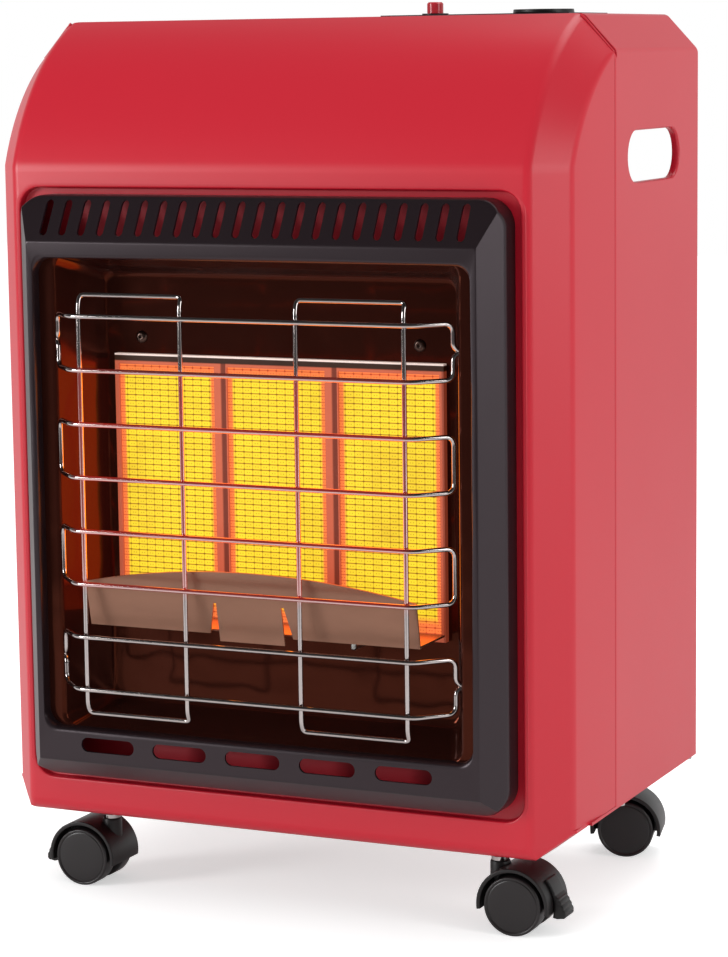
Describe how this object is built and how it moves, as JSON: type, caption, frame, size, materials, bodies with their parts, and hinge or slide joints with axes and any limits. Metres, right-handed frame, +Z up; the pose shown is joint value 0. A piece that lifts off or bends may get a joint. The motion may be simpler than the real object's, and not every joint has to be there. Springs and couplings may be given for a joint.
{
  "type": "portable propane cabinet heater",
  "caption": "Portable propane cabinet heater: red steel body, wire-guarded glowing burner in a dark bezel, side carrying slots and four twin-wheel swivel castors, the front two with brakes.",
  "frame": {"origin": "middle of the overall footprint, on the floor under the castors", "axes": "+Z up; the burner and bezel face -Y; +X is the right side seen from the front"},
  "size_m": [0.42, 0.3189, 0.6055],
  "materials": {
    "red_paint": "satin",
    "anthracite_paint": "satin",
    "black_enamel": "gloss",
    "stainless_steel": "brushed",
    "plated_steel": "satin",
    "chrome_wire": "polished",
    "brass": "satin",
    "black_nylon": "satin",
    "red_plastic": "gloss",
    "glowing_ceramic": "matte",
    "white_ceramic": "matte"
  },
  "bodies": {
    "cabinet": {"front_shell": "red_paint", "rear_cabinet": "red_paint", "base_plate": "red_paint", "divider_panel": "plated_steel", "bezel": "anthracite_paint", "firebox_pan": "black_enamel", "burner_housing": "plated_steel", "burner_frame": "stainless_steel", "plaque_left": "glowing_ceramic", "plaque_centre": "glowing_ceramic", "plaque_right": "glowing_ceramic", "plaque_gasket": "white_ceramic", "mixing_tube": "plated_steel", "gas_injector": "brass", "injector_block": "plated_steel", "deflector": "stainless_steel", "pilot_bracket": "stainless_steel", "pilot_burner": "brass", "thermocouple": "stainless_steel", "electrode_ceramic": "white_ceramic", "electrode_wire": "stainless_steel", "guard_horizontal_loops": "chrome_wire", "guard_vertical_loops": "chrome_wire", "gas_valve": "brass", "control_panel": "anthracite_paint", "igniter_housing": "black_nylon", "gas_inlet": "brass", "burner_tube": "plated_steel", "pilot_tube": "plated_steel", "tilt_switch": "black_nylon", "cylinder_guide": "plated_steel", "rear_cover_pegs": "plated_steel", "firebox_screws": "plated_steel", "base_screws": "plated_steel", "castor_stems": "chrome_wire"},
    "valve_spindle": {"valve_stem": "plated_steel"},
    "knob": {"control_knob": "black_nylon"},
    "igniter_button": {"igniter_button": "red_plastic"},
    "castor_front_right": {"hood_front_right": "black_nylon", "axle_front_right": "plated_steel"},
    "wheel_a_front_right": {"wheel_a_front_right": "black_nylon"},
    "wheel_b_front_right": {"wheel_b_front_right": "black_nylon"},
    "brake_front_right": {"brake_front_right": "black_nylon"},
    "castor_front_left": {"hood_front_left": "black_nylon", "axle_front_left": "plated_steel"},
    "wheel_a_front_left": {"wheel_a_front_left": "black_nylon"},
    "wheel_b_front_left": {"wheel_b_front_left": "black_nylon"},
    "brake_front_left": {"brake_front_left": "black_nylon"},
    "castor_rear_right": {"hood_rear_right": "black_nylon", "axle_rear_right": "plated_steel"},
    "wheel_a_rear_right": {"wheel_a_rear_right": "black_nylon"},
    "wheel_b_rear_right": {"wheel_b_rear_right": "black_nylon"},
    "castor_rear_left": {"hood_rear_left": "black_nylon", "axle_rear_left": "plated_steel"},
    "wheel_a_rear_left": {"wheel_a_rear_left": "black_nylon"},
    "wheel_b_rear_left": {"wheel_b_rear_left": "black_nylon"}
  },
  "joints": [
    {"name": "knob_turn", "type": "hinge", "parent": "cabinet", "child": "valve_spindle", "pos_m": [0.142, 0.02237, 0.596], "axis": [0, 0, -1], "range_deg": [-200, 0]},
    {"name": "knob_push", "type": "slide", "parent": "valve_spindle", "child": "knob", "axis": [0, 0, -1], "range_m": [0, 0.004], "stiffness_N_per_m": 1500, "springref_m": -0.002},
    {"name": "igniter_push", "type": "slide", "parent": "cabinet", "child": "igniter_button", "axis": [0, 0, -1], "range_m": [0, 0.006], "stiffness_N_per_m": 900, "springref_m": -0.002},
    {"name": "swivel_front_right", "type": "hinge", "parent": "cabinet", "child": "castor_front_right", "pos_m": [0.146, -0.07363, 0.05], "axis": [0, 0, 1], "continuous": true},
    {"name": "roll_a_front_right", "type": "hinge", "parent": "castor_front_right", "child": "wheel_a_front_right", "pos_m": [0.161, -0.07363, 0.02], "axis": [0, 1, 0], "continuous": true},
    {"name": "roll_b_front_right", "type": "hinge", "parent": "castor_front_right", "child": "wheel_b_front_right", "pos_m": [0.161, -0.07363, 0.02], "axis": [0, 1, 0], "continuous": true},
    {"name": "lever_front_right", "type": "hinge", "parent": "castor_front_right", "child": "brake_front_right", "pos_m": [0.161, -0.07363, 0.02], "axis": [0, 1, 0], "range_deg": [0, 12]},
    {"name": "swivel_front_left", "type": "hinge", "parent": "cabinet", "child": "castor_front_left", "pos_m": [-0.146, -0.07363, 0.05], "axis": [0, 0, 1], "continuous": true},
    {"name": "roll_a_front_left", "type": "hinge", "parent": "castor_front_left", "child": "wheel_a_front_left", "pos_m": [-0.161, -0.07363, 0.02], "axis": [0, 1, 0], "continuous": true},
    {"name": "roll_b_front_left", "type": "hinge", "parent": "castor_front_left", "child": "wheel_b_front_left", "pos_m": [-0.161, -0.07363, 0.02], "axis": [0, 1, 0], "continuous": true},
    {"name": "lever_front_left", "type": "hinge", "parent": "castor_front_left", "child": "brake_front_left", "pos_m": [-0.161, -0.07363, 0.02], "axis": [0, -1, 0], "range_deg": [0, 12]},
    {"name": "swivel_rear_right", "type": "hinge", "parent": "cabinet", "child": "castor_rear_right", "pos_m": [0.146, 0.13237, 0.05], "axis": [0, 0, 1], "continuous": true},
    {"name": "roll_a_rear_right", "type": "hinge", "parent": "castor_rear_right", "child": "wheel_a_rear_right", "pos_m": [0.16062, 0.13574, 0.02], "axis": [-0.225, 0.9744, 0], "continuous": true},
    {"name": "roll_b_rear_right", "type": "hinge", "parent": "castor_rear_right", "child": "wheel_b_rear_right", "pos_m": [0.16062, 0.13574, 0.02], "axis": [-0.225, 0.9744, 0], "continuous": true},
    {"name": "swivel_rear_left", "type": "hinge", "parent": "cabinet", "child": "castor_rear_left", "pos_m": [-0.146, 0.13237, 0.05], "axis": [0, 0, 1], "continuous": true},
    {"name": "roll_a_rear_left", "type": "hinge", "parent": "castor_rear_left", "child": "wheel_a_rear_left", "pos_m": [-0.16062, 0.13574, 0.02], "axis": [0.225, 0.9744, 0], "continuous": true},
    {"name": "roll_b_rear_left", "type": "hinge", "parent": "castor_rear_left", "child": "wheel_b_rear_left", "pos_m": [-0.16062, 0.13574, 0.02], "axis": [0.225, 0.9744, 0], "continuous": true}
  ]
}
